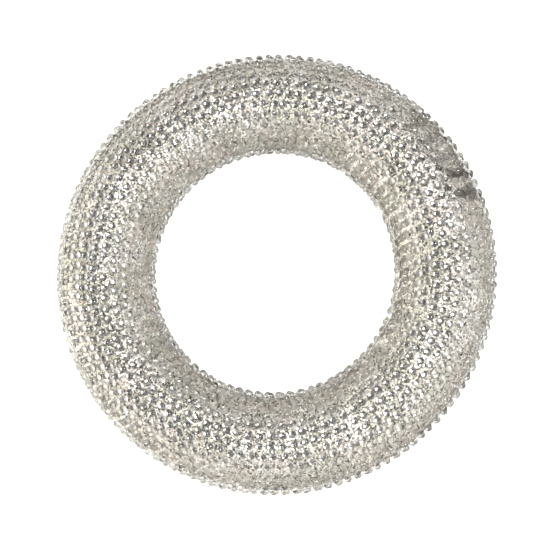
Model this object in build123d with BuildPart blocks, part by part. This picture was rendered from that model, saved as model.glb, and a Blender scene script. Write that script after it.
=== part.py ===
from build123d import *
import math
import os
import random

# A beaded wreath ring for flower work. A moulded foam ring with a flat back carries narrow
# strips of silver film, laid side by side across its round face, and clear beads are glued
# all over the film. The foam of the back stays bare.
#
# Millimetres. The origin is the middle of the ring on its flat back, and +Z points out of
# the front. An angle round the section is measured at the middle of the section: 0 points
# away from the hole, 90 points out of the front and 180 points into the hole.

# Foam core
ring_diameter = 231.5       # circle through the middle of the section
section_diameter = 61.2     # round part of the section
back_cut = 7.1              # depth that the flat back takes off the round section
back_edge_radius = 3.0      # rounding where the back meets the round face

# Film strips
strip_count = 60            # strips side by side round the whole ring
strips_per_node = 3         # neighbouring strips kept together in one file
strip_gap = 0.15            # clear space between neighbouring strips, at the middle of the section
film_thickness = 0.25
film_stop = 1.5             # height of the strip ends above the flat back

# Beads
bead_diameter = 5.0
bead_stand = 3.4            # how far a bead stands out of the film
glue_gap = 0.05             # glue line between a bead's flat and the film
bead_gap = 2.0              # clear space between neighbours in a row
row_gap = 1.1               # clear space between rows
back_clearance = 0.4        # the lowest beads stay this far above the flat back
scatter = 0.9               # share of the free space that a bead may wander in
bare_share = 0.03           # share of the beads that are missing
drift = 1.2                 # slow sideways wander of all rows along the ring
drift_waves = 5             # number of these wanders in one turn of the ring
seed = 12

# Worked out from the sizes above
ring_radius = ring_diameter / 2
core_radius = section_diameter / 2
section_height = core_radius - back_cut
film_radius = core_radius + film_thickness
bead_radius = bead_diameter / 2
seat_radius = film_radius + glue_gap
bead_centre_radius = film_radius + bead_stand - bead_radius
strip_step = 360 / strip_count
strip_angle = strip_step - math.degrees(strip_gap / ring_radius)
section_middle = (ring_radius, section_height)

os.makedirs("parts", exist_ok=True)


def section_height_at(angle, radius):
    """Height above the back of a point at this angle and radius in the section."""
    return section_height + radius * math.sin(math.radians(angle))


def row_angles():
    """Angles round the section of the bead rows, evenly spread from one back edge to the other."""
    lowest = bead_radius + back_clearance + drift + scatter * row_gap / 2
    start = math.degrees(math.asin((lowest - section_height) / bead_centre_radius))
    span = 180 - 2 * start
    arc = math.radians(span) * bead_centre_radius
    gaps = math.floor(arc / (bead_diameter + row_gap))
    return [start + span * step / gaps for step in range(gaps + 1)]


def bead_seat(around, section_angle):
    """Place of one bead: at its ball's middle, with Z pointing straight out of the film."""
    turn = math.radians(around)
    lift = math.radians(section_angle)
    reach = ring_radius + bead_centre_radius * math.cos(lift)
    height = section_height_at(section_angle, bead_centre_radius)
    middle = (reach * math.cos(turn), reach * math.sin(turn), height)
    outward = (math.cos(lift) * math.cos(turn), math.cos(lift) * math.sin(turn), math.sin(lift))
    return Plane(origin=middle, z_dir=outward).location


def row_seats(section_angle, chance):
    """Places of the beads of one row, each a little off its even place."""
    reach = ring_radius + bead_centre_radius * math.cos(math.radians(section_angle))
    count = math.floor(2 * math.pi * reach / (bead_diameter + bead_gap))
    start = chance.uniform(0, 360)
    seats = []
    for place in range(count):
        along = chance.uniform(-0.5, 0.5) * scatter * bead_gap
        across = chance.uniform(-0.5, 0.5) * scatter * row_gap
        bare = chance.random() < bare_share
        around = start + 360 * place / count + math.degrees(along / reach)
        across += drift * math.sin(math.radians(drift_waves * around))
        if not bare:
            seats.append(bead_seat(around, section_angle + math.degrees(across / bead_centre_radius)))
    return seats


# Foam core: a round section with a flat back, turned about the ring's axis.
with BuildPart() as foam_core:
    with BuildSketch(Plane.XZ) as core_profile:
        with Locations(section_middle):
            Circle(core_radius)
        with Locations((ring_radius, 0)):
            Rectangle(section_diameter, section_diameter, align=(Align.CENTER, Align.MAX), mode=Mode.SUBTRACT)
        fillet(core_profile.vertices().group_by(Axis.Z)[0], back_edge_radius)
    revolve(axis=Axis.Z)
foam_core.part.label = "foam_core"
export_step(foam_core.part, "parts/foam_core.step")

# Film strips: each covers its share of the ring, from one back edge over the front to the other,
# and stops just short of its neighbour.
for first in range(0, strip_count, strips_per_node):
    with BuildPart() as film_strips:
        for strip in range(first, min(first + strips_per_node, strip_count)):
            strip_start = Plane.XZ.rotated((0, 0, strip * strip_step))
            with BuildSketch(strip_start) as strip_profile:
                with Locations(section_middle):
                    Circle(film_radius)
                    Circle(core_radius, mode=Mode.SUBTRACT)
                with Locations((ring_radius, film_stop)):
                    Rectangle(
                        2 * section_diameter,
                        section_diameter,
                        align=(Align.CENTER, Align.MAX),
                        mode=Mode.SUBTRACT,
                    )
            revolve(axis=Axis.Z, revolution_arc=strip_angle)
    name = f"film_strips_{first // strips_per_node + 1:02d}"
    film_strips.part.label = name
    export_step(film_strips.part, f"parts/{name}.step")

# One bead: a ball with a flat underneath, where the glue holds it to the film.
with BuildPart() as bead:
    Sphere(bead_radius)
    split(bisect_by=Plane.XY.offset(seat_radius - bead_centre_radius), keep=Keep.TOP)

# Bead rows: rings of beads, numbered from the outer back edge over the front to the inner one.
chance = random.Random(seed)
for number, section_angle in enumerate(row_angles(), start=1):
    with BuildPart() as bead_row:
        with Locations(row_seats(section_angle, chance)):
            add(bead.part)
    name = f"bead_row_{number:02d}"
    bead_row.part.label = name
    export_step(bead_row.part, f"parts/{name}.step")
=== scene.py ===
import logging
import math
from dataclasses import dataclass, field
from enum import Enum

import bpy
import numpy as np
from mathutils import Matrix, Vector


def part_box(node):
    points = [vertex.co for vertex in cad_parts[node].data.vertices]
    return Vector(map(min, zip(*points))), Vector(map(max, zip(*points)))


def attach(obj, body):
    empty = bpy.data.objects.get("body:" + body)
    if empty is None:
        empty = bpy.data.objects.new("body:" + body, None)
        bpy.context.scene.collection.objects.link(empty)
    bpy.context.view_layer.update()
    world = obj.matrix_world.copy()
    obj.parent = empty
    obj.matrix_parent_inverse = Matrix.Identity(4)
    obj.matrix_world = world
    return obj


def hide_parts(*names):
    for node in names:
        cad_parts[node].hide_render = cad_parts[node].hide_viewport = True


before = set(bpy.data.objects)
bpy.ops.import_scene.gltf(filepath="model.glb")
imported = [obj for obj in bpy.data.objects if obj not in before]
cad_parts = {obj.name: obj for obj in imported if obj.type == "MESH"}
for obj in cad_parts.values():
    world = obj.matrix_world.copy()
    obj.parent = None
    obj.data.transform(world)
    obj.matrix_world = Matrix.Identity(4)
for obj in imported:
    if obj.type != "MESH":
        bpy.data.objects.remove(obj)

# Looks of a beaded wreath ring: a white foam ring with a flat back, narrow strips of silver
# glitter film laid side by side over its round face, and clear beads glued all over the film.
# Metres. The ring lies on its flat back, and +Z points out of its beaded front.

logging.basicConfig(level=logging.INFO, format="%(message)s")
log = logging.getLogger("wreath_ring")

Colour = tuple[float, float, float, float]
Tint = tuple[float, float, float]
Place = tuple[float, float, float]
Sockets = dict[str, tuple[str, object]]

FOAM_HOLE_RADIUS = 0.08515  # radius of the bare foam's hole, where it is narrowest
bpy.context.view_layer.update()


class Slot(Enum):
    """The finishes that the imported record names."""

    FOAM = "foam"
    FILM = "film"
    BEADS = "beads"


@dataclass(frozen=True)
class Section:
    """The ring's section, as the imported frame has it.

    Args:
        ring_radius: Radius of the circle through the middle of the section.
        core_radius: Radius of the round part of the foam.
        height: Height of the section's middle above the flat back.
    """

    ring_radius: float
    core_radius: float
    height: float

    @classmethod
    def from_frame(cls, hole_radius: float) -> "Section":
        """Reads the section from the foam core's box.

        Args:
            hole_radius: Radius of the bare foam's hole.

        Returns:
            The section's sizes.
        """
        low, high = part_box("foam_core")
        outside = (high.x - low.x) / 2
        core_radius = (outside - hole_radius) / 2
        return cls((outside + hole_radius) / 2, core_radius, high.z - core_radius)

    def angle_at_height(self, height: float, radius: float) -> float:
        """Finds where a circle round the section's middle reaches a height on the outer side.

        Args:
            height: The height above the flat back.
            radius: The circle's radius.

        Returns:
            The angle round the section, from straight out.
        """
        return math.asin((height - self.height) / radius)

    def outward(self, points: np.ndarray) -> np.ndarray:
        """Unit directions from the section's middle through some points.

        Args:
            points: An array of points, one a row.

        Returns:
            An array of unit vectors, one a row.
        """
        reach = np.hypot(points[:, 0], points[:, 1])[:, None]
        middles = points * [1.0, 1.0, 0.0] / reach * self.ring_radius
        middles[:, 2] = self.height
        away = points - middles
        return away / np.linalg.norm(away, axis=1)[:, None]


class Tree:
    """A short way to write node trees: makes nodes, sets their inputs and links them."""

    def __init__(self, tree: bpy.types.NodeTree) -> None:
        """Wraps an empty node tree.

        Args:
            tree: The tree to fill.
        """
        self.tree = tree

    def add(self, kind: str, inputs: dict | None = None, **properties: object) -> bpy.types.Node:
        """Adds a node.

        Args:
            kind: The node's type name.
            inputs: Values or output sockets, by input name or number.
            properties: Values of the node's own properties.

        Returns:
            The new node.
        """
        node = self.tree.nodes.new(kind)
        for name, value in properties.items():
            setattr(node, name, value)
        for key, value in (inputs or {}).items():
            self.feed(value, node.inputs[key])
        return node

    def feed(self, value: object, socket: bpy.types.NodeSocket) -> None:
        """Links an output to an input, or sets the input if the value is a plain one.

        Args:
            value: An output socket or a plain value.
            socket: The input to feed.
        """
        if isinstance(value, bpy.types.NodeSocket):
            self.tree.links.new(value, socket)
        else:
            socket.default_value = value

    def math(self, operation: str, first: object, second: object = 0.0) -> bpy.types.NodeSocket:
        """Adds a Math node.

        Args:
            operation: What it works out.
            first: Its first number.
            second: Its second number, if it takes one.

        Returns:
            The result's socket.
        """
        node = self.add("ShaderNodeMath", {0: first, 1: second}, operation=operation)
        return node.outputs[0]

    def vector(self, operation: str, first: object, second: object = (0, 0, 0)) -> bpy.types.NodeSocket:
        """Adds a Vector Math node.

        Args:
            operation: What it works out.
            first: Its first vector.
            second: Its second vector, if it takes one.

        Returns:
            The resulting vector's socket.
        """
        node = self.add("ShaderNodeVectorMath", {0: first, 1: second}, operation=operation)
        return node.outputs["Vector"]

    def scaled(self, vector: object, factor: object) -> bpy.types.NodeSocket:
        """Scales a vector by a number.

        Args:
            vector: The vector.
            factor: The number.

        Returns:
            The scaled vector's socket.
        """
        node = self.add("ShaderNodeVectorMath", {0: vector, "Scale": factor}, operation="SCALE")
        return node.outputs["Vector"]

    def span(
        self, value: object, low: float, high: float, to_low: float, to_high: float
    ) -> bpy.types.NodeSocket:
        """Maps a number from one range to another, clamped.

        Args:
            value: The number.
            low: Start of its range.
            high: End of its range.
            to_low: Result at the start.
            to_high: Result at the end.

        Returns:
            The result's socket.
        """
        inputs = {"Value": value, "From Min": low, "From Max": high, "To Min": to_low, "To Max": to_high}
        return self.add("ShaderNodeMapRange", inputs).outputs["Result"]

    def mixed(
        self, factor: object, first: object, second: object, blend: str = "MIX"
    ) -> bpy.types.NodeSocket:
        """Mixes two colours.

        Args:
            factor: Share of the second colour.
            first: The first colour.
            second: The second colour.
            blend: How they are mixed.

        Returns:
            The mixed colour's socket.
        """
        node = self.add("ShaderNodeMix", data_type="RGBA", blend_type=blend)
        for place, value in ((0, factor), (6, first), (7, second)):
            self.feed(value, node.inputs[place])
        return node.outputs[2]


def new_group(name: str, inputs: Sockets, outputs: dict[str, str]) -> tuple[Tree, object, object]:
    """Starts a shader node group.

    Args:
        name: The group's name.
        inputs: Socket type and first value by input name.
        outputs: Socket type by output name.

    Returns:
        The group's tree, its input node and its output node.
    """
    group = bpy.data.node_groups.new(name, "ShaderNodeTree")
    for label, (kind, value) in inputs.items():
        socket = group.interface.new_socket(label, in_out="INPUT", socket_type=kind)
        socket.default_value = value
    for label, kind in outputs.items():
        group.interface.new_socket(label, in_out="OUTPUT", socket_type=kind)
    tree = Tree(group)
    return tree, tree.add("NodeGroupInput"), tree.add("NodeGroupOutput")


def blotch_group(steepness: float = 3.0) -> bpy.types.NodeTree:
    """Builds the group of soft uneven patches, used for tints and handling marks.

    Args:
        steepness: How quickly a patch goes from none to full, at a contrast of 1.

    Returns:
        The group. It puts out a mask from 0 to 1.
    """
    inputs = {
        "Vector": ("NodeSocketVector", (0, 0, 0)),
        "Patch Size": ("NodeSocketFloat", 0.02),
        "Contrast": ("NodeSocketFloat", 1.0),
    }
    tree, start, end = new_group("soft patches", inputs, {"Mask": "NodeSocketFloat"})
    scale = tree.math("DIVIDE", 1.0, start.outputs["Patch Size"])
    noise = tree.add("ShaderNodeTexNoise", {"Vector": start.outputs["Vector"], "Scale": scale, "Detail": 3.0})
    centred = tree.math("SUBTRACT", noise.outputs["Fac"], 0.5)
    spread = tree.math("MULTIPLY", centred, start.outputs["Contrast"])
    spread = tree.math("MULTIPLY", spread, steepness)
    mask = tree.add("ShaderNodeMath", {0: spread, 1: 0.5}, operation="ADD", use_clamp=True).outputs[0]
    tree.feed(mask, end.inputs["Mask"])
    return tree.tree


TINT_CONTRAST = 1.6  # contrast of the patches of tint in the glitter
TINT_SHARES = {"Warm": 0.7, "Sage": 0.75}  # share of each tint in the middle of its patches
FLAKE_DULL = 0.25  # brightness of the dullest flakes
FLAKE_FULL = 0.9  # share of the flakes that are below full brightness
SPECK_DULL = 0.12  # brightness of the darkest specks
SPECK_FULL = 0.5  # share of the specks that are below full brightness


def glitter_group(patches: bpy.types.NodeTree) -> bpy.types.NodeTree:
    """Builds the group of glitter: tilted flakes and dark specks over three slowly changing tints.

    Args:
        patches: The group of soft patches.

    Returns:
        The group. It puts out a colour, the tilted normal and a random number for each flake.
    """
    inputs = {
        "Vector": ("NodeSocketVector", (0, 0, 0)),
        "Silver": ("NodeSocketColor", (1.0, 0.97, 0.91, 1.0)),
        "Warm": ("NodeSocketColor", (0.80, 0.69, 0.61, 1.0)),
        "Sage": ("NodeSocketColor", (0.64, 0.63, 0.53, 1.0)),
        "Flake Size": ("NodeSocketFloat", 0.0008),
        "Speck Size": ("NodeSocketFloat", 0.0011),
        "Warm Patch": ("NodeSocketFloat", 0.013),
        "Sage Patch": ("NodeSocketFloat", 0.024),
        "Tilt": ("NodeSocketFloat", 0.6),
    }
    outputs = {"Color": "NodeSocketColor", "Normal": "NodeSocketVector", "Random": "NodeSocketFloat"}
    tree, start, end = new_group("glitter", inputs, outputs)
    place = start.outputs["Vector"]
    scale = tree.math("DIVIDE", 1.0, start.outputs["Flake Size"])
    cells = tree.add("ShaderNodeTexVoronoi", {"Vector": place, "Scale": scale})
    lean = tree.vector("SUBTRACT", cells.outputs["Color"], (0.5, 0.5, 0.5))
    lean = tree.scaled(lean, start.outputs["Tilt"])
    leaned = tree.vector("ADD", tree.add("ShaderNodeNewGeometry").outputs["Normal"], lean)
    tree.feed(tree.vector("NORMALIZE", leaned), end.inputs["Normal"])
    flake = tree.add("ShaderNodeSeparateColor", {"Color": cells.outputs["Color"]}).outputs["Red"]
    tree.feed(flake, end.inputs["Random"])
    scale = tree.math("DIVIDE", 1.0, start.outputs["Speck Size"])
    specks = tree.add("ShaderNodeTexVoronoi", {"Vector": place, "Scale": scale})
    speck = tree.add("ShaderNodeSeparateColor", {"Color": specks.outputs["Color"]}).outputs["Green"]
    colour = start.outputs["Silver"]
    for tint, share in TINT_SHARES.items():
        inputs = {
            "Vector": place,
            "Patch Size": start.outputs[f"{tint} Patch"],
            "Contrast": TINT_CONTRAST,
        }
        patch = tree.add("ShaderNodeGroup", inputs, node_tree=patches)
        amount = tree.math("MULTIPLY", patch.outputs["Mask"], share)
        colour = tree.mixed(amount, colour, start.outputs[tint])
    colour = tree.mixed(1.0, colour, tree.span(flake, 0.0, FLAKE_FULL, FLAKE_DULL, 1.0), "MULTIPLY")
    colour = tree.mixed(1.0, colour, tree.span(speck, 0.0, SPECK_FULL, SPECK_DULL, 1.0), "MULTIPLY")
    tree.feed(colour, end.inputs["Color"])
    return tree.tree


@dataclass(frozen=True)
class Effects:
    """The shader node groups that the finishes share."""

    glitter: bpy.types.NodeTree
    patches: bpy.types.NodeTree


def new_material(name: str) -> tuple[bpy.types.Material, Tree, bpy.types.Node, bpy.types.NodeSocket]:
    """Starts a material with a Principled BSDF and object coordinates.

    Args:
        name: The material's name.

    Returns:
        The material, its tree, the shader and the coordinate socket.
    """
    material = bpy.data.materials.new(name)
    material.use_nodes = True
    tree = Tree(material.node_tree)
    shader = material.node_tree.nodes["Principled BSDF"]
    place = tree.add("ShaderNodeTexCoord").outputs["Object"]
    return material, tree, shader, place


@dataclass(frozen=True)
class GlitterFilm:
    """Silver glitter film: small flakes, each at its own angle, with a painted shadow where it lies under a
    lap.
    """

    # Near-black brown of the painted shadow under the laps.
    painted_lap_shadow: Colour = (0.06, 0.045, 0.04, 1.0)
    metal: float = 0.4
    dull_flake: float = 0.65
    bright_flake: float = 0.35

    def material(self, effects: Effects) -> bpy.types.Material:
        """Builds the finish.

        Args:
            effects: The shared shader groups.

        Returns:
            The material.
        """
        material, tree, shader, place = new_material("silver glitter film")
        glitter = tree.add("ShaderNodeGroup", node_tree=effects.glitter)
        tree.feed(place, glitter.inputs["Vector"])
        crease = tree.add("ShaderNodeAttribute", attribute_name="crease").outputs["Fac"]
        # Painted shadow: the film's colour is darkened toward a near-black brown where the strips' mask marks
        # the shade under a lap.
        colour = tree.mixed(crease, glitter.outputs["Color"], self.painted_lap_shadow)
        tree.feed(colour, shader.inputs["Base Color"])
        rough = tree.span(glitter.outputs["Random"], 0.0, 1.0, self.dull_flake, self.bright_flake)
        tree.feed(rough, shader.inputs["Roughness"])
        tree.feed(glitter.outputs["Normal"], shader.inputs["Normal"])
        shader.inputs["Metallic"].default_value = self.metal
        return material


@dataclass(frozen=True)
class ClearBead:
    """Clear acrylic with a little haze from handling."""

    tint: Colour = (0.90, 0.905, 0.895, 1.0)
    refraction: float = 1.49
    haze_size: float = 0.004
    haze_from: float = 0.2
    polished: float = 0.04
    hazed: float = 0.13

    def material(self, effects: Effects) -> bpy.types.Material:
        """Builds the finish.

        Args:
            effects: The shared shader groups.

        Returns:
            The material.
        """
        material, tree, shader, place = new_material("clear bead")
        inputs = {"Vector": place, "Patch Size": self.haze_size}
        haze = tree.add("ShaderNodeGroup", inputs, node_tree=effects.patches)
        rough = tree.span(haze.outputs["Mask"], self.haze_from, 1.0, self.polished, self.hazed)
        tree.feed(rough, shader.inputs["Roughness"])
        shader.inputs["Base Color"].default_value = self.tint
        shader.inputs["IOR"].default_value = self.refraction
        shader.inputs["Transmission Weight"].default_value = 1.0
        return material


@dataclass(frozen=True)
class GluedFilm:
    """The film under a bead's flat base: wetted bright by the glue in front, duller down the sides, and
    darkened by painted shadow where the bead sits in a lap's painted shadow.

    Each pair of numbers is for the sides first and for the front second.
    """

    silver: Colour = (0.97, 0.95, 0.915, 1.0)
    side_silver: Colour = (0.97, 0.88, 0.76, 1.0)
    # Near-black brown of the painted shadow on beads that sit in a lap's painted shadow, and how much of it
    # they get.
    painted_lap_shadow: Colour = (0.09, 0.06, 0.05, 1.0)
    painted_lap_shadow_share: float = 0.8
    shiny_height: float = 0.0535
    dull_height: float = 0.040
    wetted: tuple[float, float] = (0.35, 0.8)
    metal: tuple[float, float] = (0.3, 0.9)
    roughness: tuple[float, float] = (0.45, 0.22)
    flake_roughness: float = 0.08
    flake_tilt: float = 0.1

    def material(self, effects: Effects) -> bpy.types.Material:
        """Builds the finish.

        Args:
            effects: The shared shader groups.

        Returns:
            The material.
        """
        material, tree, shader, place = new_material("film under glue")
        glitter = tree.add("ShaderNodeGroup", node_tree=effects.glitter)
        tree.feed(place, glitter.inputs["Vector"])
        height = tree.add("ShaderNodeSeparateXYZ", {"Vector": place}).outputs["Z"]
        shine = tree.span(height, self.dull_height, self.shiny_height, 0.0, 1.0)
        wet = tree.mixed(shine, self.side_silver, self.silver)
        colour = tree.mixed(tree.span(shine, 0.0, 1.0, *self.wetted), glitter.outputs["Color"], wet)
        # Painted shadow: the base is darkened by the shade that each bead carries from the film's painted lap
        # shadow beneath it.
        shade = tree.add("ShaderNodeAttribute", attribute_name="shade").outputs["Fac"]
        shade = tree.math("MULTIPLY", shade, self.painted_lap_shadow_share)
        tree.feed(glitter.outputs["Normal"], shader.inputs["Normal"])
        glitter.inputs["Tilt"].default_value = self.flake_tilt
        tree.feed(tree.mixed(shade, colour, self.painted_lap_shadow), shader.inputs["Base Color"])
        rough = tree.span(shine, 0.0, 1.0, *self.roughness)
        uneven = tree.math("MULTIPLY", glitter.outputs["Random"], self.flake_roughness)
        rough = tree.math("ADD", rough, uneven)
        tree.feed(rough, shader.inputs["Roughness"])
        tree.feed(tree.span(shine, 0.0, 1.0, *self.metal), shader.inputs["Metallic"])
        return material


@dataclass(frozen=True)
class MouldedFoam:
    """White expanded polystyrene: pressed beads of foam with fine dark lines between them."""

    white: Colour = (0.93, 0.93, 0.91, 1.0)
    joint: Colour = (0.74, 0.74, 0.72, 1.0)
    joint_share: float = 0.6
    joint_width: float = 0.09
    cell_size: float = 0.0036
    cell_shoulder: float = 0.25
    dullest_cell: float = 0.95
    dirt_size: float = 0.03
    dirt_share: float = 0.12
    dent_strength: float = 0.35
    dent_depth: float = 0.0003
    roughness: float = 0.62

    def material(self, effects: Effects) -> bpy.types.Material:
        """Builds the finish.

        Args:
            effects: The shared shader groups.

        Returns:
            The material.
        """
        material, tree, shader, place = new_material("moulded foam")
        scale = 1.0 / self.cell_size
        inputs = {"Vector": place, "Scale": scale}
        edges = tree.add("ShaderNodeTexVoronoi", inputs, feature="DISTANCE_TO_EDGE")
        line = tree.span(edges.outputs["Distance"], 0.0, self.joint_width, 1.0, 0.0)
        cells = tree.add("ShaderNodeTexVoronoi", inputs)
        parts = tree.add("ShaderNodeSeparateColor", {"Color": cells.outputs["Color"]})
        inputs = {"Vector": place, "Patch Size": self.dirt_size}
        patch = tree.add("ShaderNodeGroup", inputs, node_tree=effects.patches)
        dirt = tree.math("MULTIPLY", patch.outputs["Mask"], self.dirt_share)
        colour = tree.mixed(tree.math("MULTIPLY", line, self.joint_share), self.white, self.joint)
        colour = tree.mixed(dirt, colour, self.joint)
        shade = tree.span(parts.outputs["Red"], 0.0, 1.0, self.dullest_cell, 1.0)
        colour = tree.mixed(1.0, colour, shade, "MULTIPLY")
        tree.feed(colour, shader.inputs["Base Color"])
        height = tree.span(edges.outputs["Distance"], 0.0, self.cell_shoulder, 0.0, 1.0)
        inputs = {"Height": height, "Strength": self.dent_strength, "Distance": self.dent_depth}
        bump = tree.add("ShaderNodeBump", inputs)
        tree.feed(bump.outputs["Normal"], shader.inputs["Normal"])
        shader.inputs["Roughness"].default_value = self.roughness
        return material


def mesh_object(name: str, vertices: np.ndarray, faces: list[tuple[int, ...]]) -> bpy.types.Object:
    """Makes a mesh object at the origin, shaded smooth.

    Args:
        name: The object's name.
        vertices: Points, one a row.
        faces: Corner numbers of each face, outward side anticlockwise.

    Returns:
        The new object, in the scene.
    """
    mesh = bpy.data.meshes.new(name)
    mesh.from_pydata(vertices.tolist(), [], faces)
    mesh.polygons.foreach_set("use_smooth", [True] * len(mesh.polygons))
    mesh.update()
    piece = bpy.data.objects.new(name, mesh)
    bpy.context.scene.collection.objects.link(piece)
    return piece


def set_input(modifier: bpy.types.Modifier, label: str, value: object) -> None:
    """Sets a Geometry Nodes modifier's input by its socket's identifier.

    Args:
        modifier: The modifier.
        label: The input's name in the tree.
        value: The value to give it.
    """
    for item in modifier.node_group.interface.items_tree:
        if item.item_type == "SOCKET" and item.in_out == "INPUT" and item.name == label:
            modifier[item.identifier] = value


def settle(piece: bpy.types.Object, name: str) -> bpy.types.Object:
    """Turns a piece's Geometry Nodes result into a plain mesh piece, and removes the first piece.

    Args:
        piece: The object that carries the modifier.
        name: Name of the plain piece.

    Returns:
        The plain piece.
    """
    graph = bpy.context.evaluated_depsgraph_get()
    mesh = bpy.data.meshes.new_from_object(piece.evaluated_get(graph), depsgraph=graph)
    mesh.name = name
    piece.modifiers.clear()
    bpy.data.objects.remove(piece)
    plain = bpy.data.objects.new(name, mesh)
    bpy.context.scene.collection.objects.link(plain)
    return plain


def geometry_tree(name: str, sockets: Sockets) -> tuple[Tree, object, object]:
    """Starts a Geometry Nodes tree with a geometry input and output and named inputs.

    Args:
        name: The tree's name.
        sockets: Socket type and first value by input name.

    Returns:
        The tree, its input node and its output node.
    """
    group = bpy.data.node_groups.new(name, "GeometryNodeTree")
    group.interface.new_socket("Geometry", in_out="INPUT", socket_type="NodeSocketGeometry")
    for label, (kind, value) in sockets.items():
        socket = group.interface.new_socket(label, in_out="INPUT", socket_type=kind)
        socket.default_value = value
    group.interface.new_socket("Geometry", in_out="OUTPUT", socket_type="NodeSocketGeometry")
    tree = Tree(group)
    return tree, tree.add("NodeGroupInput"), tree.add("NodeGroupOutput")


@dataclass
class FoamCore:
    """The moulded foam ring, which shows on the flat back only."""

    section: Section
    edge_radius: float = 0.003
    around: int = 288
    across: int = 72
    edge_steps: int = 7
    back_steps: int = 14
    name: str = "foam_ring"

    def profile(self) -> np.ndarray:
        """Works out the section's outline.

        Returns:
            Points anticlockwise from the outer side, as distances from the section's middle.
        """
        core = self.section.core_radius
        edge = self.edge_radius
        drop = self.section.height
        sink = math.asin((edge - drop) / (core - edge))
        lift = np.linspace(sink, math.pi - sink, self.across)
        face = np.stack([core * np.cos(lift), core * np.sin(lift)], axis=1)
        corner_x = -math.sqrt((core - edge) ** 2 - (drop - edge) ** 2)
        turn = np.linspace(math.pi - sink, 1.5 * math.pi, self.edge_steps)[1:]
        inner = np.stack([corner_x + edge * np.cos(turn), edge - drop + edge * np.sin(turn)], axis=1)
        flat = np.linspace(corner_x, -corner_x, self.back_steps)[1:-1]
        back = np.stack([flat, np.full_like(flat, -drop)], axis=1)
        outer = inner[::-1] * [-1.0, 1.0]
        return np.concatenate([face, inner, back, outer])

    def build(self, material: bpy.types.Material) -> bpy.types.Object:
        """Builds the ring.

        Args:
            material: The foam's finish.

        Returns:
            The finished piece.
        """
        profile = self.profile()
        turns = np.arange(self.around) * 2 * math.pi / self.around
        reach = self.section.ring_radius + profile[:, 0]
        height = self.section.height + profile[:, 1]
        points = np.stack(
            [
                np.outer(np.cos(turns), reach),
                np.outer(np.sin(turns), reach),
                np.tile(height, (self.around, 1)),
            ],
            axis=2,
        ).reshape(-1, 3)
        count = len(profile)
        faces = []
        for turn in range(self.around):
            here, there = turn * count, (turn + 1) % self.around * count
            for step in range(count):
                after = (step + 1) % count
                faces.append((here + step, there + step, there + after, here + after))
        piece = mesh_object(self.name, points, faces)
        piece.data.materials.append(material)
        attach(piece, "root")
        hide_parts("foam_core")
        log.info("%s: %d faces", self.name, len(piece.data.polygons))
        return piece


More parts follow.
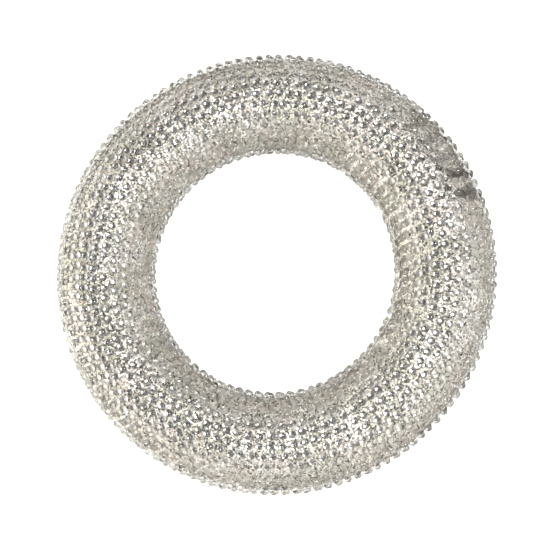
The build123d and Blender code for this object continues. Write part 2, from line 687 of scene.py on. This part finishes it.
@dataclass
class FilmStrips:
    """The silver film: strips of one width laid across the ring, each lapping over the next.

    On the side of the ring that loose_side gives, the raised edges gape and a painted shadow darkens the film
    under each lap.
    Elsewhere they are nearly tight. The strips are laid a little unevenly, so some of them stand
    apart on the ring's outer side and the foam shows between them.
    """

    section: Section
    count: int = 60
    per_piece: int = 3
    width: float = 0.0158
    thickness: float = 0.00012
    lift: float = 0.00012
    raised: float = 0.0003
    stop_height: float = 0.0015
    rows: int = 130
    columns: int = 14
    foam_clearance: float = 0.0001
    crinkle: float = 0.0002
    crinkle_scales: tuple[float, float] = (210.0, 620.0)
    fine_share: float = 0.6
    wander: float = 0.006
    loose_side: float = math.radians(29.0)
    loose_facing: tuple[float, float] = (0.955, 0.985)
    tightest: float = 0.03
    least_loose: float = 0.4
    lap_lean: tuple[float, float] = (0.15, 0.65)
    # Width, widening and softness of the painted shadow beside each strip's low edge.
    lap_shadow_width: tuple[float, float] = (0.08, 0.65)
    lap_shadow_softness: float = 0.3
    # Least painted shadow whose film points are handed on to the beads.
    lap_shadow_from: float = 0.1
    nodes: list[str] = field(default_factory=list)

    def template(self) -> bpy.types.Object:
        """Builds one closed strip at the start of the ring, with its first edge low and its last raised.
        A painted shadow lies on the strip beside its low edge, under the next strip's raised edge; it starts
        where the film leans outward enough, and widens from there.

        The dark wedge of a lap starts where the film leans outward enough, and widens from there.

        Returns:
            The strip's object.
        """
        base = self.section.core_radius + self.foam_clearance
        low = self.section.angle_at_height(self.stop_height, self.section.core_radius)
        lifts = np.linspace(low, math.pi - low, self.rows)[:, None]
        shares = np.linspace(0.0, 1.0, self.columns)[None, :]
        sheets = []
        for depth in (self.thickness, 0.0):
            radius = base + self.lift * shares + depth
            reach = self.section.ring_radius + radius * np.cos(lifts)
            turn = (0.5 - shares) * self.width / reach
            height = self.section.height + radius * np.sin(lifts)
            sheet = np.stack([reach * np.cos(turn), reach * np.sin(turn), height], axis=2)
            sheets.append(sheet.reshape(-1, 3))
        strip = mesh_object("strip_template", np.concatenate(sheets), self.strip_faces())
        lean_from, lean_to = self.lap_lean
        outer = np.clip((np.cos(lifts) - lean_from) / (lean_to - lean_from), 0.0, 1.0)
        narrow, widening = self.lap_shadow_width
        # Painted shadow: a mask beside the strip's low edge, under the next strip's raised edge, that darkens
        # the film's colour; the edge mask lifts the raised edge in the geometry.
        reached = (narrow + widening * outer - shares) / self.lap_shadow_softness
        wedge = np.clip(reached, 0.0, 1.0) * (outer > 0.0)
        edge = outer * shares**3
        for label, values in (("wedge", wedge), ("edge", edge)):
            attribute = strip.data.attributes.new(label, "FLOAT", "POINT")
            attribute.data.foreach_set("value", np.tile(values.ravel(), 2))
        return strip

    def strip_faces(self) -> list[tuple[int, ...]]:
        """Lists the faces of the closed strip.

        Returns:
            The corner numbers of its top, its underside and its four edges.
        """
        rows, columns = self.rows, self.columns
        under = rows * columns
        faces = []
        for row in range(rows - 1):
            for column in range(columns - 1):
                a = row * columns + column
                b, c, d = a + 1, a + columns + 1, a + columns
                faces.append((a, d, c, b))
                faces.append((a + under, b + under, c + under, d + under))
        for row in range(rows - 1):
            a, d = row * columns, (row + 1) * columns
            faces.append((a, a + under, d + under, d))
            b, c = a + columns - 1, d + columns - 1
            faces.append((b, c, c + under, b + under))
        for column in range(columns - 1):
            a, b = column, column + 1
            faces.append((a, b, b + under, a + under))
            d, c = a + (rows - 1) * columns, b + (rows - 1) * columns
            faces.append((d, d + under, c + under, c))
        return faces

    def tree(self, template: bpy.types.Object, material: bpy.types.Material) -> bpy.types.NodeTree:
        """Builds the Geometry Nodes tree that lays some strips round the ring and crinkles them.

        Args:
            template: The strip to lay.
            material: The film's finish.

        Returns:
            The tree.
        """
        sockets = {
            "First Strip": ("NodeSocketInt", 0),
            "Strips": ("NodeSocketInt", self.per_piece),
            "Step Angle": ("NodeSocketFloat", 2 * math.pi / self.count),
            "Crinkle": ("NodeSocketFloat", self.crinkle),
            "Raised": ("NodeSocketFloat", self.raised),
            "Seed": ("NodeSocketInt", 3),
        }
        tree, start, end = geometry_tree("lay film strips", sockets)
        seed = start.outputs["Seed"]
        line = tree.add("GeometryNodeMeshLine", {"Count": start.outputs["Strips"], "Offset": (0, 0, 0)})
        index = tree.add("GeometryNodeInputIndex").outputs["Index"]
        number = tree.math("ADD", index, start.outputs["First Strip"])
        inputs = {2: -self.wander, 3: self.wander, "ID": number, "Seed": seed}
        wander = tree.add("FunctionNodeRandomValue", inputs, data_type="FLOAT")
        turn = tree.math("MULTIPLY", number, start.outputs["Step Angle"])
        turn = tree.math("ADD", turn, wander.outputs[1])
        rotation = tree.add("ShaderNodeCombineXYZ", {"Z": turn}).outputs["Vector"]
        inputs = {2: self.least_loose, 3: 1.0, "ID": number, "Seed": seed}
        loose = tree.add("FunctionNodeRandomValue", inputs, data_type="FLOAT")
        facing = tree.math("COSINE", tree.math("SUBTRACT", turn, self.loose_side))
        window = tree.span(facing, *self.loose_facing, self.tightest, 1.0)
        looseness = tree.math("MULTIPLY", loose.outputs[1], window)
        strip = tree.add("GeometryNodeObjectInfo", {"Object": template})
        laid = tree.add(
            "GeometryNodeInstanceOnPoints",
            {"Points": line.outputs["Mesh"], "Instance": strip.outputs["Geometry"], "Rotation": rotation},
        )
        marked = tree.add(
            "GeometryNodeStoreNamedAttribute",
            {"Geometry": laid.outputs["Instances"], "Name": "loose", "Value": looseness},
            domain="INSTANCE",
        )
        real = tree.add("GeometryNodeRealizeInstances", {"Geometry": marked.outputs["Geometry"]})
        wedge, edge, held = (
            tree.add("GeometryNodeInputNamedAttribute", {"Name": label}).outputs["Attribute"]
            for label in ("wedge", "edge", "loose")
        )
        place = tree.add("GeometryNodeInputPosition").outputs["Position"]
        level = tree.vector("MULTIPLY", place, (1.0, 1.0, 0.0))
        middle = tree.scaled(tree.vector("NORMALIZE", level), self.section.ring_radius)
        middle = tree.vector("ADD", middle, (0.0, 0.0, self.section.height))
        outward = tree.vector("NORMALIZE", tree.vector("SUBTRACT", place, middle))
        rise = tree.math("MULTIPLY", tree.math("MULTIPLY", edge, held), start.outputs["Raised"])
        coarse, fine = (
            tree.add("ShaderNodeTexNoise", {"Vector": place, "Scale": scale, "Detail": detail})
            for scale, detail in zip(self.crinkle_scales, (2.0, 1.0))
        )
        push = tree.vector("SUBTRACT", coarse.outputs["Color"], (0.5, 0.5, 0.5))
        more = tree.vector("SUBTRACT", fine.outputs["Color"], (0.5, 0.5, 0.5))
        more = tree.scaled(more, self.fine_share)
        push = tree.scaled(tree.vector("ADD", push, more), start.outputs["Crinkle"])
        push = tree.vector("ADD", push, tree.scaled(outward, rise))
        moved = tree.add("GeometryNodeSetPosition", {"Geometry": real.outputs["Geometry"], "Offset": push})
        # Painted shadow: the mask of the lap's shadow, scaled by how loose the strip is, is stored for the
        # film's colour.
        lap_shadowed = tree.add(
            "GeometryNodeStoreNamedAttribute",
            {
                "Geometry": moved.outputs["Geometry"],
                "Name": "crease",
                "Value": tree.math("MULTIPLY", wedge, held),
            },
            domain="POINT",
        )
        inputs = {"Geometry": lap_shadowed.outputs["Geometry"], "Material": material}
        dressed = tree.add("GeometryNodeSetMaterial", inputs)
        tree.feed(dressed.outputs["Geometry"], end.inputs["Geometry"])
        return tree.tree

    def build(self, material: bpy.types.Material) -> list[bpy.types.Object]:
        """Builds the strips, one piece for each of the frame's film nodes.

        Args:
            material: The film's finish.

        Returns:
            The finished pieces.
        """
        template = self.template()
        tree = self.tree(template, material)
        pieces = []
        for place, node in enumerate(self.nodes):
            carrier = mesh_object("carrier", np.zeros((1, 3)), [])
            modifier = carrier.modifiers.new("strips", "NODES")
            modifier.node_group = tree
            set_input(modifier, "First Strip", place * self.per_piece)
            set_input(modifier, "Strips", self.per_piece)
            piece = settle(carrier, node.replace("film_strips", "film"))
            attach(piece, "root")
            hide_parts(node)
            pieces.append(piece)
        bpy.data.objects.remove(template)
        log.info("film: %d pieces, %d faces", len(pieces), sum(len(p.data.polygons) for p in pieces))
        return pieces

    def lap_shadow_points(self, pieces: list[bpy.types.Object]) -> np.ndarray:
        """Collects the parts of the film that carry a lap's painted shadow.

        Args:
            pieces: The finished film.

        Returns:
            An array of points and of how dark the painted shadow is at each, one a row.
        """
        found = []
        for piece in pieces:
            dark = np.empty(len(piece.data.vertices))
            piece.data.attributes["crease"].data.foreach_get("value", dark)
            points = np.empty(len(dark) * 3)
            piece.data.vertices.foreach_get("co", points)
            rows = np.column_stack([points.reshape(-1, 3), dark])
            found.append(rows[dark > self.lap_shadow_from])
        return np.concatenate(found)


@dataclass
class BeadRows:
    """The clear beads, one piece for each row of the frame."""

    section: Section
    reach: float = 0.0035
    radius: float = 0.0025
    sink: float = 0.0007
    sides: int = 12
    rings: int = 6
    size_spread: float = 0.06
    nodes: list[str] = field(default_factory=list)

    def template(self) -> bpy.types.Object:
        """Builds one bead: a ball cut flat under its middle, with its pole up.

        Returns:
            The bead's object.
        """
        cut = math.acos(-self.sink / self.radius)
        points = [(0.0, 0.0, self.radius)]
        for ring in range(1, self.rings + 1):
            lean = cut * ring / self.rings
            for side in range(self.sides):
                turn = 2 * math.pi * side / self.sides
                flat = self.radius * math.sin(lean)
                points.append((flat * math.cos(turn), flat * math.sin(turn), self.radius * math.cos(lean)))
        faces = [(0, 1 + side, 1 + (side + 1) % self.sides) for side in range(self.sides)]
        for ring in range(self.rings - 1):
            upper, lower = 1 + ring * self.sides, 1 + (ring + 1) * self.sides
            for side in range(self.sides):
                after = (side + 1) % self.sides
                faces.append((upper + side, lower + side, lower + after, upper + after))
        base = 1 + (self.rings - 1) * self.sides
        faces.append(tuple(base + side for side in reversed(range(self.sides))))
        bead = mesh_object("bead_template", np.array(points), faces)
        bead.data.polygons[len(faces) - 1].use_smooth = False
        glued = bead.data.attributes.new("glued", "BOOLEAN", "FACE")
        glued.data[len(faces) - 1].value = True
        return bead

    def seats(self, node: str) -> tuple[np.ndarray, np.ndarray]:
        """Finds the beads of a row from the frame: each is a separate run of joined triangles.

        Args:
            node: The frame's node.

        Returns:
            The middles of the beads' balls and the ways that they point, one a row.
        """
        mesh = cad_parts[node].data
        points = np.empty(len(mesh.vertices) * 3, np.float32)
        mesh.vertices.foreach_get("co", points)
        points = points.reshape(-1, 3).astype(float)
        keys = np.round(points * 1e5).astype(int)
        _, merged = np.unique(keys, axis=0, return_inverse=True)
        merged = merged.reshape(-1)
        corners = np.empty(len(mesh.loops), np.int32)
        mesh.loops.foreach_get("vertex_index", corners)
        triangles = merged[corners].reshape(-1, 3)
        owner = np.arange(merged.max() + 1)
        while True:
            lowest = owner[triangles].min(axis=1)
            before = owner.copy()
            for corner in range(3):
                np.minimum.at(owner, triangles[:, corner], lowest)
            owner = owner[owner]
            if np.array_equal(before, owner):
                break
        islands = owner[merged]
        middles = np.array([self.ball_middle(points[islands == island]) for island in np.unique(islands)])
        return middles, self.section.outward(middles)

    def ball_middle(self, points: np.ndarray) -> np.ndarray:
        """Finds the ball that a bead's points lie on, by least squares.

        Args:
            points: The bead's points, one a row.

        Returns:
            The ball's middle.
        """
        rows = np.concatenate([2 * points, np.ones((len(points), 1))], axis=1)
        answer = np.linalg.lstsq(rows, (points**2).sum(axis=1), rcond=None)[0]
        return answer[:3]

    def tree(
        self, template: bpy.types.Object, material: bpy.types.Material, glued: bpy.types.Material
    ) -> bpy.types.NodeTree:
        """Builds the Geometry Nodes tree that puts a bead on every seat.

        Args:
            template: The bead.
            material: The beads' finish.
            glued: The finish of their glued bases.

        Returns:
            The tree.
        """
        sockets = {
            "Size Spread": ("NodeSocketFloat", self.size_spread),
            "Seed": ("NodeSocketInt", 5),
        }
        tree, start, end = geometry_tree("seat beads", sockets)
        way = tree.add("GeometryNodeInputNamedAttribute", {"Name": "outward"}, data_type="FLOAT_VECTOR")
        inputs = {"Vector": way.outputs["Attribute"]}
        aligned = tree.add("FunctionNodeAlignRotationToVector", inputs, axis="Z")
        smallest = tree.math("SUBTRACT", 1.0, start.outputs["Size Spread"])
        inputs = {2: smallest, 3: 1.0, "Seed": start.outputs["Seed"]}
        size = tree.add("FunctionNodeRandomValue", inputs, data_type="FLOAT")
        bead = tree.add("GeometryNodeObjectInfo", {"Object": template})
        seated = tree.add(
            "GeometryNodeInstanceOnPoints",
            {
                "Points": start.outputs["Geometry"],
                "Instance": bead.outputs["Geometry"],
                "Rotation": aligned.outputs["Rotation"],
                "Scale": size.outputs[1],
            },
        )
        real = tree.add("GeometryNodeRealizeInstances", {"Geometry": seated.outputs["Instances"]})
        inputs = {"Geometry": real.outputs["Geometry"], "Material": material}
        dressed = tree.add("GeometryNodeSetMaterial", inputs)
        base = tree.add("GeometryNodeInputNamedAttribute", {"Name": "glued"}, data_type="BOOLEAN")
        inputs = {
            "Geometry": dressed.outputs["Geometry"],
            "Selection": base.outputs["Attribute"],
            "Material": glued,
        }
        based = tree.add("GeometryNodeSetMaterial", inputs)
        tree.feed(based.outputs["Geometry"], end.inputs["Geometry"])
        return tree.tree

    def shades(self, middles: np.ndarray, lap_shadow_points: np.ndarray) -> np.ndarray:
        """Finds how dark the painted lap shadow is under each bead of a row.

        Args:
            middles: The middles of the beads, one a row.
            lap_shadow_points: Points of the film's painted lap shadow and how dark each is, one a row.

        Returns:
            A number from 0 to 1 for each bead.
        """
        apart = np.linalg.norm(middles[:, None, :] - lap_shadow_points[None, :, :3], axis=2)
        nearest = apart.argmin(axis=1)
        close = apart[np.arange(len(middles)), nearest] < self.reach
        return lap_shadow_points[nearest, 3] * close

    def build(
        self, material: bpy.types.Material, glued: bpy.types.Material, lap_shadow_points: np.ndarray
    ) -> list[bpy.types.Object]:
        """Builds the rows.

        Args:
            material: The beads' finish.
            glued: The finish of their glued bases.
            lap_shadow_points: Points of the film's painted lap shadow and how dark each is, one a row.

        Returns:
            The finished pieces.
        """
        template = self.template()
        tree = self.tree(template, material, glued)
        pieces = []
        for place, node in enumerate(self.nodes):
            middles, ways = self.seats(node)
            carrier = mesh_object("carrier", middles, [])
            outward = carrier.data.attributes.new("outward", "FLOAT_VECTOR", "POINT")
            outward.data.foreach_set("vector", ways.ravel())
            # Painted shadow: each bead carries how dark the film's painted lap shadow is beneath it, for its
            # base's colour.
            shade = carrier.data.attributes.new("shade", "FLOAT", "POINT")
            shade.data.foreach_set("value", self.shades(middles, lap_shadow_points))
            modifier = carrier.modifiers.new("beads", "NODES")
            modifier.node_group = tree
            set_input(modifier, "Seed", place)
            piece = settle(carrier, node.replace("bead_row", "beads"))
            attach(piece, "root")
            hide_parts(node)
            pieces.append(piece)
        bpy.data.objects.remove(template)
        log.info("beads: %d pieces, %d faces", len(pieces), sum(len(p.data.polygons) for p in pieces))
        return pieces


@dataclass(frozen=True)
class SoftLight:
    """A square soft light. It may be left out of reflections and of what is seen through the beads."""

    name: str
    place: Place
    size: float
    power: float
    colour: Tint = (1.0, 1.0, 1.0)
    in_reflections: bool = True
    through_beads: bool = True

    def hang(self, aim: Place) -> None:
        """Hangs the light so that it faces the ring.

        Args:
            aim: The point that it faces.
        """
        lamp = bpy.data.lights.new(self.name, "AREA")
        lamp.size = self.size
        lamp.energy = self.power
        lamp.color = self.colour
        holder = bpy.data.objects.new(self.name, lamp)
        holder.location = self.place
        facing = Vector(aim) - Vector(self.place)
        holder.rotation_euler = facing.to_track_quat("-Z", "Y").to_euler()
        holder.visible_glossy = self.in_reflections
        holder.visible_transmission = self.through_beads
        bpy.context.scene.collection.objects.link(holder)


LEFT_PLACE = (-1.75, -0.4, 0.5)
LEFT_SIZE = 2.0
LEFT_COLOUR = (1.0, 0.96, 0.88)
SOFT_LIGHTS = (
    SoftLight("key", (0.56, -0.02, 1.49), size=0.45, power=24.0),
    SoftLight("right", (1.0, -1.0, 0.95), size=1.2, power=7.0),
    SoftLight("left through the beads", LEFT_PLACE, LEFT_SIZE, 13.0, LEFT_COLOUR, False),
    SoftLight("left", LEFT_PLACE, LEFT_SIZE, 140.0, LEFT_COLOUR, False, False),
)


@dataclass
class Studio:
    """Pale floor, soft lights and the camera."""

    floor_size: float = 24.0
    floor_colour: Colour = (0.4, 0.4, 0.4, 1.0)
    floor_roughness: float = 0.9
    floor_light: Colour = (1.0, 0.98, 0.94, 1.0)
    floor_glow: float = 0.62
    floor_seen_glow: float = 1.0
    camera_distance: float = 0.72
    camera_lean: float = math.radians(9.5)
    camera_side: float = math.radians(-45.0)
    lens: float = 69.9
    aim: Place = (0.0020, -0.0034, 0.028)
    room_light: Colour = (1.0, 0.985, 0.96, 1.0)
    bright_side: Place = (-0.95, -0.1, 0.0)
    far_side_share: float = 0.6
    bright_side_share: float = 1.35
    bright_below: float = 0.26
    dark_above: float = 0.74
    room_dark: float = 0.07
    room_bright: float = 1.15

    def floor(self) -> None:
        """Lays the floor."""
        half = self.floor_size / 2
        corners = [(-half, -half, 0.0), (half, -half, 0.0), (half, half, 0.0), (-half, half, 0.0)]
        ground = mesh_object("floor", np.array(corners), [(0, 1, 2, 3)])
        material, tree, shader, _ = new_material("pale floor")
        shader.inputs["Base Color"].default_value = self.floor_colour
        shader.inputs["Roughness"].default_value = self.floor_roughness
        shader.inputs["Emission Color"].default_value = self.floor_light
        seen = tree.add("ShaderNodeLightPath").outputs["Is Camera Ray"]
        glow = tree.span(seen, 0.0, 1.0, self.floor_glow, self.floor_seen_glow)
        tree.feed(glow, shader.inputs["Emission Strength"])
        ground.data.materials.append(material)

    def lights(self) -> None:
        """Sets the room's light and hangs the soft lights."""
        world = bpy.data.worlds.new("studio")
        world.use_nodes = True
        tree = Tree(world.node_tree)
        way = tree.add("ShaderNodeTexCoord").outputs["Generated"]
        inputs = {0: way, 1: self.bright_side}
        toward = tree.add("ShaderNodeVectorMath", inputs, operation="DOT_PRODUCT").outputs["Value"]
        height = tree.add("ShaderNodeSeparateXYZ", {"Vector": way}).outputs["Z"]
        side = tree.span(toward, -1.0, 1.0, self.far_side_share, self.bright_side_share)
        level = tree.span(height, self.bright_below, self.dark_above, self.room_bright, self.room_dark)
        strength = tree.math("MULTIPLY", level, side)
        background = world.node_tree.nodes["Background"]
        background.inputs["Color"].default_value = self.room_light
        tree.feed(strength, background.inputs["Strength"])
        bpy.context.scene.world = world
        for light in SOFT_LIGHTS:
            light.hang(self.aim)

    def camera(self) -> None:
        """Sets the camera, above the ring and leaning a little to one side."""
        flat = math.sin(self.camera_lean) * self.camera_distance
        aim = Vector(self.aim)
        offset = Vector(
            (
                flat * math.cos(self.camera_side),
                flat * math.sin(self.camera_side),
                math.cos(self.camera_lean) * self.camera_distance,
            )
        )
        back = offset.normalized()
        right = Vector((0.0, 1.0, 0.0)).cross(back).normalized()
        up = back.cross(right)
        data = bpy.data.cameras.new("camera")
        data.lens = self.lens
        camera = bpy.data.objects.new("camera", data)
        rotation = Matrix((right, up, back)).transposed().to_4x4()
        camera.matrix_world = Matrix.Translation(aim + offset) @ rotation
        bpy.context.scene.collection.objects.link(camera)
        bpy.context.scene.camera = camera

    def build(self) -> None:
        """Builds the studio."""
        self.floor()
        self.lights()
        self.camera()
        bpy.context.scene.view_settings.view_transform = "Standard"


def main() -> None:
    """Builds the ring and the studio."""
    section = Section.from_frame(FOAM_HOLE_RADIUS)
    patches = blotch_group()
    effects = Effects(glitter_group(patches), patches)
    names = sorted(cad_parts)
    FoamCore(section).build(MouldedFoam().material(effects))
    film_nodes = [name for name in names if name.startswith("film_strips")]
    strips = FilmStrips(section, nodes=film_nodes)
    # The film's painted lap shadow is handed on so that the beads sitting in it get the same painted shadow.
    lap_shadow_points = strips.lap_shadow_points(strips.build(GlitterFilm().material(effects)))
    bead_nodes = [name for name in names if name.startswith("bead_row")]
    rows = BeadRows(section, nodes=bead_nodes)
    rows.build(ClearBead().material(effects), GluedFilm().material(effects), lap_shadow_points)
    Studio().build()


if __name__ == "__main__":
    main()
